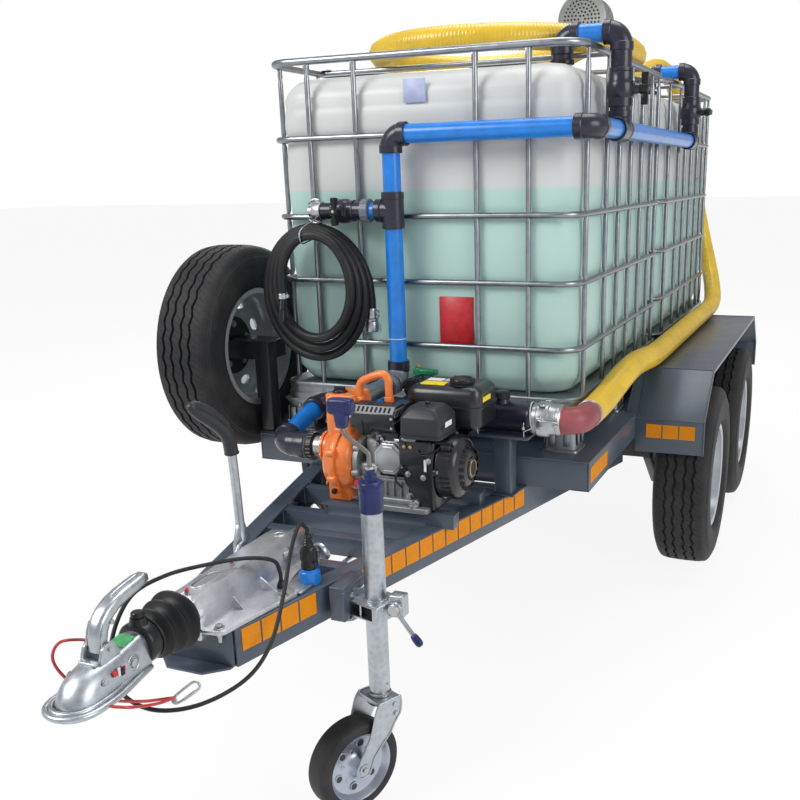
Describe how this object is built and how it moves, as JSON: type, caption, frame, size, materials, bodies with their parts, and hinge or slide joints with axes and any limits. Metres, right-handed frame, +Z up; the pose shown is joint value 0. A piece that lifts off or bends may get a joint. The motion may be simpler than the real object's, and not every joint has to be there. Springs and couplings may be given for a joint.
{
  "type": "water tank trailer",
  "caption": "Tandem-axle trailer with caged water tanks, engine pump, blue pipework, hoses, spare wheel, jockey wheel, handbrake and overrun coupling.",
  "frame": {"origin": "on the ground, under the middle of the trailer's length and width (its cords and hoses left out)", "axes": "+Z up; +Y from the coupling towards the rear of the deck; +X to the right-hand tyres as seen from behind the coupling looking along +Y"},
  "size_m": [1.626, 4.18, 1.96],
  "materials": {
    "charcoal_paint": "dark grey paint, slightly glossy",
    "black_steel": "black paint",
    "galvanised_steel": "galvanised, dull silver",
    "tyre_rubber": "black tyre rubber",
    "black_rubber": "black rubber",
    "tank_plastic": "white translucent blow-moulded plastic",
    "cage_steel": "galvanised tube",
    "blue_pipe": "bright blue pipe with a soft shine",
    "grey_fitting": "dark slate-grey moulded fittings",
    "black_plastic": "black moulded plastic",
    "orange_casting": "orange painted casting",
    "engine_casting": "bare cast metal",
    "engine_black": "black paint, satin",
    "yellow_hose": "yellow ribbed suction hose",
    "jockey_blue": "dark blue paint",
    "green_handle": "green plastic grip",
    "red_cable": "red coated cable"
  },
  "bodies": {
    "trailer": {"air_filter": "engine_black", "cable_plug": "black_plastic", "deck_frame": "charcoal_paint", "delivery_hose": "black_rubber", "delivery_hose_coupler": "galvanised_steel", "delivery_pipework": "blue_pipe", "drawbar_frame": "charcoal_paint", "engine_block": "engine_casting", "front_axle": "black_steel", "front_bottle": "tank_plastic", "front_cage": "cage_steel", "front_pallet": "galvanised_steel", "fuel_tank": "engine_black", "jockey_bracket": "galvanised_steel", "mudguard_left": "charcoal_paint", "mudguard_right": "charcoal_paint", "overrun_housing": "galvanised_steel", "plug_cable": "black_rubber", "pump_body": "orange_casting", "rear_axle": "black_steel", "rear_bottle": "tank_plastic", "rear_cage": "cage_steel", "rear_pallet": "galvanised_steel", "recoil_starter": "engine_black", "spare_rim": "galvanised_steel", "spare_tyre": "tyre_rubber", "spare_wheel_carrier": "black_steel", "spray_nozzle": "black_plastic", "strainer": "engine_casting", "suction_camlock": "galvanised_steel", "suction_hose": "yellow_hose", "suction_hose_coil": "yellow_hose", "suction_pipework": "grey_fitting"},
    "wheel_front_left": {"tyre_front_left": "tyre_rubber", "rim_front_left": "galvanised_steel"},
    "wheel_front_right": {"tyre_front_right": "tyre_rubber", "rim_front_right": "galvanised_steel"},
    "wheel_rear_left": {"tyre_rear_left": "tyre_rubber", "rim_rear_left": "galvanised_steel"},
    "wheel_rear_right": {"tyre_rear_right": "tyre_rubber", "rim_rear_right": "galvanised_steel"},
    "coupling": {"coupling_head": "galvanised_steel", "bellows": "black_rubber", "breakaway_cable": "red_cable"},
    "coupling_lever": {"coupling_handle": "galvanised_steel"},
    "handbrake": {"handbrake_lever": "galvanised_steel"},
    "brake_linkage": {"brake_rod": "galvanised_steel"},
    "jockey_leg": {"jockey_outer_tube": "galvanised_steel"},
    "jockey_screw": {"jockey_crank": "jockey_blue"},
    "jockey_stem": {"jockey_inner_tube": "galvanised_steel"},
    "jockey_caster": {"jockey_fork": "galvanised_steel"},
    "jockey_roller": {"jockey_wheel": "black_rubber"},
    "jockey_clamp": {"jockey_clamp_lever": "galvanised_steel"},
    "outlet_valve": {"tank_valve_handle": "green_handle"},
    "front_fill_valve": {"front_valve_handle": "black_plastic"},
    "rear_fill_valve": {"rear_valve_handle": "black_plastic"},
    "branch_valve": {"branch_valve_handle": "black_plastic"},
    "rear_lid": {"rear_tank_lid": "black_plastic"},
    "tank_cap": {"fuel_cap": "black_plastic"},
    "pump_rotor": {"impeller": "engine_casting"}
  },
  "joints": [
    {"name": "wheel_front_left_spin", "type": "hinge", "parent": "trailer", "child": "wheel_front_left", "pos_m": [-0.715, 0.401, 0.33], "axis": [1, 0, 0], "continuous": true},
    {"name": "wheel_front_right_spin", "type": "hinge", "parent": "trailer", "child": "wheel_front_right", "pos_m": [0.715, 0.401, 0.33], "axis": [1, 0, 0], "continuous": true},
    {"name": "wheel_rear_left_spin", "type": "hinge", "parent": "trailer", "child": "wheel_rear_left", "pos_m": [-0.715, 1.255, 0.33], "axis": [1, 0, 0], "continuous": true},
    {"name": "wheel_rear_right_spin", "type": "hinge", "parent": "trailer", "child": "wheel_rear_right", "pos_m": [0.715, 1.255, 0.33], "axis": [1, 0, 0], "continuous": true},
    {"name": "overrun_slide", "type": "slide", "parent": "trailer", "child": "coupling", "axis": [0, 1, 0], "range_m": [0, 0.06], "deforming": ["bellows"]},
    {"name": "coupling_handle_lift", "type": "hinge", "parent": "coupling", "child": "coupling_lever", "pos_m": [0, -1.915, 0.606], "axis": [1, 0, 0], "range_deg": [0, 45]},
    {"name": "handbrake_pull", "type": "hinge", "parent": "trailer", "child": "handbrake", "pos_m": [-0.07, -1.362, 0.572], "axis": [1, 0, 0], "range_deg": [0, 60]},
    {"name": "brake_rod_slide", "type": "slide", "parent": "trailer", "child": "brake_linkage", "axis": [0, 1, 0], "range_m": [0, 0.025]},
    {"name": "jockey_clamp_slide", "type": "slide", "parent": "trailer", "child": "jockey_leg", "axis": [0, 0, 1], "range_m": [0, 0.15]},
    {"name": "jockey_crank_turn", "type": "hinge", "parent": "jockey_leg", "child": "jockey_screw", "pos_m": [0.27, -1.345, 0.8053], "axis": [0, 0, -1], "range_deg": [0, 10800]},
    {"name": "jockey_stem_slide", "type": "slide", "parent": "jockey_leg", "child": "jockey_stem", "axis": [0, 0, -1], "range_m": [0, 0.15]},
    {"name": "jockey_swivel", "type": "hinge", "parent": "jockey_stem", "child": "jockey_caster", "pos_m": [0.27, -1.345, 0.258], "axis": [0, 0, 1], "continuous": true},
    {"name": "jockey_wheel_spin", "type": "hinge", "parent": "jockey_caster", "child": "jockey_roller", "pos_m": [0.23274, -1.4214, 0.11], "axis": [0.8988, -0.4384, 0], "continuous": true},
    {"name": "jockey_clamp_turn", "type": "hinge", "parent": "trailer", "child": "jockey_clamp", "pos_m": [0.331, -1.3613, 0.4932], "axis": [0, -1, 0], "range_deg": [0, 90]},
    {"name": "outlet_valve_turn", "type": "hinge", "parent": "trailer", "child": "outlet_valve", "pos_m": [0.02, -0.527, 0.8423], "axis": [0, 0, -1], "range_deg": [0, 90]},
    {"name": "front_fill_valve_turn", "type": "hinge", "parent": "trailer", "child": "front_fill_valve", "pos_m": [0.6003, -0.225, 1.645], "axis": [1, 0, 0], "range_deg": [0, 90]},
    {"name": "rear_fill_valve_turn", "type": "hinge", "parent": "trailer", "child": "rear_fill_valve", "pos_m": [0.6003, 1.025, 1.645], "axis": [1, 0, 0], "range_deg": [0, 90]},
    {"name": "branch_valve_turn", "type": "hinge", "parent": "trailer", "child": "branch_valve", "pos_m": [-0.21, -0.5703, 1.325], "axis": [0, 1, 0], "range_deg": [0, 90]},
    {"name": "rear_lid_turn", "type": "hinge", "parent": "trailer", "child": "rear_lid", "pos_m": [0, 1.375, 1.7353], "axis": [0, 0, 1], "range_deg": [0, 360]},
    {"name": "fuel_cap_turn", "type": "hinge", "parent": "trailer", "child": "tank_cap", "pos_m": [0.262, -0.775, 0.8823], "axis": [0, 0, 1], "range_deg": [0, 90]},
    {"name": "impeller_spin", "type": "hinge", "parent": "trailer", "child": "pump_rotor", "pos_m": [-0.045, -0.875, 0.672], "axis": [1, 0, 0], "continuous": true}
  ],
  "couplings": [
    {"joint": "brake_rod_slide", "follows": "handbrake_pull", "m_per_rad": 0.021},
    {"joint": "jockey_crank_turn", "follows": "jockey_stem_slide", "rad_per_m": 1256.6}
  ]
}
